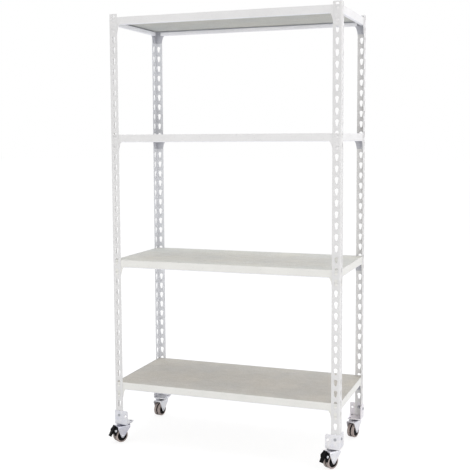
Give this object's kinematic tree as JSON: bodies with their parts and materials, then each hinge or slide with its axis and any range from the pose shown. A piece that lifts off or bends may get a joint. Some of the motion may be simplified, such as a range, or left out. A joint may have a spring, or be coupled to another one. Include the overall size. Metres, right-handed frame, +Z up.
{
  "type": "mobile shelving unit",
  "caption": "Open mobile shelving rack: white slotted angle posts, beam-framed shelves with grey boards, on swivel casters, the front ones braked.",
  "frame": {"origin": "on the floor under the middle of the whole unit, casters and pedals included", "axes": "+X to the right along the shelves, -Y to the front, +Z up"},
  "size_m": [0.874, 0.4324, 1.5731],
  "materials": {
    "white_paint": "satin white powder coat",
    "board": "matt warm grey faced board",
    "zinc": "bright zinc plate on pressed steel",
    "black_plastic": "moulded black plastic",
    "grey_tread": "grey soft tread"
  },
  "bodies": {
    "frame": {"post_front_left": "white_paint", "bracket_front_left": "zinc", "bracket_front_left_bolt_a": "zinc", "bracket_front_left_bolt_b": "zinc", "caster_front_left_top_plate": "zinc", "post_front_right": "white_paint", "bracket_front_right": "zinc", "bracket_front_right_bolt_a": "zinc", "bracket_front_right_bolt_b": "zinc", "caster_front_right_top_plate": "zinc", "post_rear_right": "white_paint", "bracket_rear_right": "zinc", "bracket_rear_right_bolt_a": "zinc", "bracket_rear_right_bolt_b": "zinc", "caster_rear_right_top_plate": "zinc", "post_rear_left": "white_paint", "bracket_rear_left": "zinc", "bracket_rear_left_bolt_a": "zinc", "bracket_rear_left_bolt_b": "zinc", "caster_rear_left_top_plate": "zinc", "shelf_1_beam_front": "white_paint", "shelf_1_beam_right": "white_paint", "shelf_1_beam_back": "white_paint", "shelf_1_beam_left": "white_paint", "shelf_1_board": "board", "shelf_2_beam_front": "white_paint", "shelf_2_beam_right": "white_paint", "shelf_2_beam_back": "white_paint", "shelf_2_beam_left": "white_paint", "shelf_2_board": "board", "shelf_3_beam_front": "white_paint", "shelf_3_beam_right": "white_paint", "shelf_3_beam_back": "white_paint", "shelf_3_beam_left": "white_paint", "shelf_3_board": "board", "shelf_4_beam_front": "white_paint", "shelf_4_beam_right": "white_paint", "shelf_4_beam_back": "white_paint", "shelf_4_beam_left": "white_paint", "shelf_4_board": "board"},
    "swivel_front_left": {"caster_front_left_fork": "zinc", "caster_front_left_axle": "zinc", "caster_front_left_brake_housing": "black_plastic"},
    "wheel_front_left": {"caster_front_left_wheel_core": "black_plastic", "caster_front_left_tyre": "grey_tread"},
    "pedal_front_left": {"caster_front_left_brake_pedal": "black_plastic"},
    "swivel_front_right": {"caster_front_right_fork": "zinc", "caster_front_right_axle": "zinc", "caster_front_right_brake_housing": "black_plastic"},
    "wheel_front_right": {"caster_front_right_wheel_core": "black_plastic", "caster_front_right_tyre": "grey_tread"},
    "pedal_front_right": {"caster_front_right_brake_pedal": "black_plastic"},
    "swivel_rear_right": {"caster_rear_right_fork": "zinc", "caster_rear_right_axle": "zinc"},
    "wheel_rear_right": {"caster_rear_right_wheel_core": "black_plastic", "caster_rear_right_tyre": "grey_tread"},
    "swivel_rear_left": {"caster_rear_left_fork": "zinc", "caster_rear_left_axle": "zinc"},
    "wheel_rear_left": {"caster_rear_left_wheel_core": "black_plastic", "caster_rear_left_tyre": "grey_tread"}
  },
  "joints": [
    {"name": "front_left_swivel", "type": "hinge", "parent": "frame", "child": "swivel_front_left", "pos_m": [-0.39545, -0.15627, 0.07], "axis": [0, 0, 1], "continuous": true},
    {"name": "front_left_wheel_spin", "type": "hinge", "parent": "swivel_front_left", "child": "wheel_front_left", "pos_m": [-0.40499, -0.17154, 0.025], "axis": [0.848, -0.5299, 0], "continuous": true},
    {"name": "front_left_brake_pedal", "type": "hinge", "parent": "swivel_front_left", "child": "pedal_front_left", "pos_m": [-0.41968, -0.19506, 0.04827], "axis": [0.848, -0.5299, 0], "range_deg": [0, 25]},
    {"name": "front_right_swivel", "type": "hinge", "parent": "frame", "child": "swivel_front_right", "pos_m": [0.40735, -0.15627, 0.07], "axis": [0, 0, 1], "continuous": true},
    {"name": "front_right_wheel_spin", "type": "hinge", "parent": "swivel_front_right", "child": "wheel_front_right", "pos_m": [0.39781, -0.17154, 0.025], "axis": [0.848, -0.5299, 0], "continuous": true},
    {"name": "front_right_brake_pedal", "type": "hinge", "parent": "swivel_front_right", "child": "pedal_front_right", "pos_m": [0.38312, -0.19506, 0.04827], "axis": [0.848, -0.5299, 0], "range_deg": [0, 25]},
    {"name": "rear_right_swivel", "type": "hinge", "parent": "frame", "child": "swivel_rear_right", "pos_m": [0.40735, 0.18653, 0.07], "axis": [0, 0, 1], "continuous": true},
    {"name": "rear_right_wheel_spin", "type": "hinge", "parent": "swivel_rear_right", "child": "wheel_rear_right", "pos_m": [0.40239, 0.16922, 0.025], "axis": [0.9613, -0.2756, 0], "continuous": true},
    {"name": "rear_left_swivel", "type": "hinge", "parent": "frame", "child": "swivel_rear_left", "pos_m": [-0.39545, 0.18653, 0.07], "axis": [0, 0, 1], "continuous": true},
    {"name": "rear_left_wheel_spin", "type": "hinge", "parent": "swivel_rear_left", "child": "wheel_rear_left", "pos_m": [-0.39858, 0.1688, 0.025], "axis": [0.9848, -0.1736, 0], "continuous": true}
  ]
}
